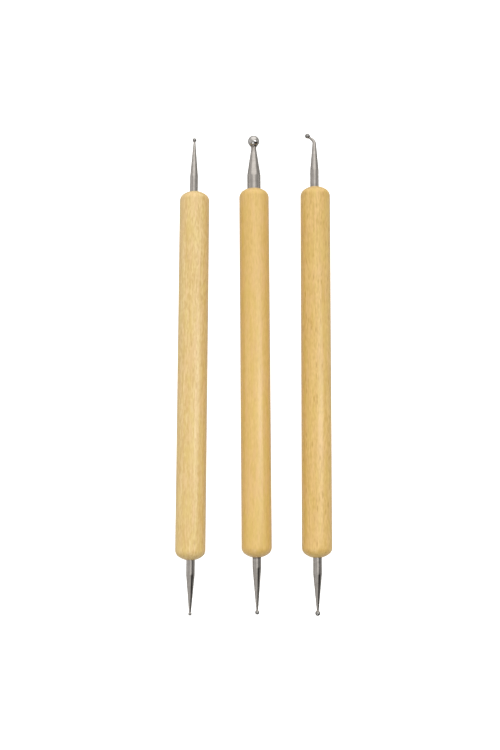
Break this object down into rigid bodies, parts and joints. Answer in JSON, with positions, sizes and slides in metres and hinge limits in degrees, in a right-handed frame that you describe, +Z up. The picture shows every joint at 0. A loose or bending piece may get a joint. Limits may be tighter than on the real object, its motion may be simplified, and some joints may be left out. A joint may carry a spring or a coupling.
{
  "type": "embossing stylus set",
  "caption": "Double-ended embossing styluses side by side: round wooden handles with domed ends and tapered steel rods tipped with balls from tiny to large, a bent tip among them.",
  "frame": {"origin": "on the table, under the middle of the set's outline", "axes": "+Y along the handles towards the ends with the large ball and the bent tip, +Z up from the table, +X from the fine stylus to the bent one"},
  "size_m": [0.0528, 0.1651, 0.0102],
  "materials": {
    "fine_wood": "pale fine-grained wood under satin varnish, the palest of the three",
    "broad_wood": "smooth golden wood under satin varnish",
    "bent_wood": "golden wood with darker streaks and flecks under satin varnish",
    "rod_steel": "turned and ground steel, satin, with fine rings round the taper",
    "ball_steel": "polished steel ball",
    "adhesive": "cured amber adhesive, glossy and dark in the gap round the rod"
  },
  "bodies": {
    "broad_stylus": {"broad_handle": "broad_wood", "broad_upper_rod": "rod_steel", "broad_upper_ball": "ball_steel", "broad_upper_glue": "adhesive", "broad_lower_rod": "rod_steel", "broad_lower_ball": "ball_steel", "broad_lower_glue": "adhesive"},
    "fine_stylus": {"fine_handle": "fine_wood", "fine_upper_rod": "rod_steel", "fine_upper_ball": "ball_steel", "fine_upper_glue": "adhesive", "fine_lower_rod": "rod_steel", "fine_lower_ball": "ball_steel", "fine_lower_glue": "adhesive"},
    "bent_stylus": {"bent_handle": "bent_wood", "bent_upper_rod": "rod_steel", "bent_upper_ball": "ball_steel", "bent_upper_glue": "adhesive", "bent_lower_rod": "rod_steel", "bent_lower_ball": "ball_steel", "bent_lower_glue": "adhesive"}
  },
  "joints": [
    {"name": "fine_lift", "type": "slide", "parent": "broad_stylus", "child": "fine_stylus", "axis": [0, 0, 1], "range_m": [0, 0.05]},
    {"name": "bent_lift", "type": "slide", "parent": "broad_stylus", "child": "bent_stylus", "axis": [0, 0, 1], "range_m": [0, 0.05]}
  ]
}
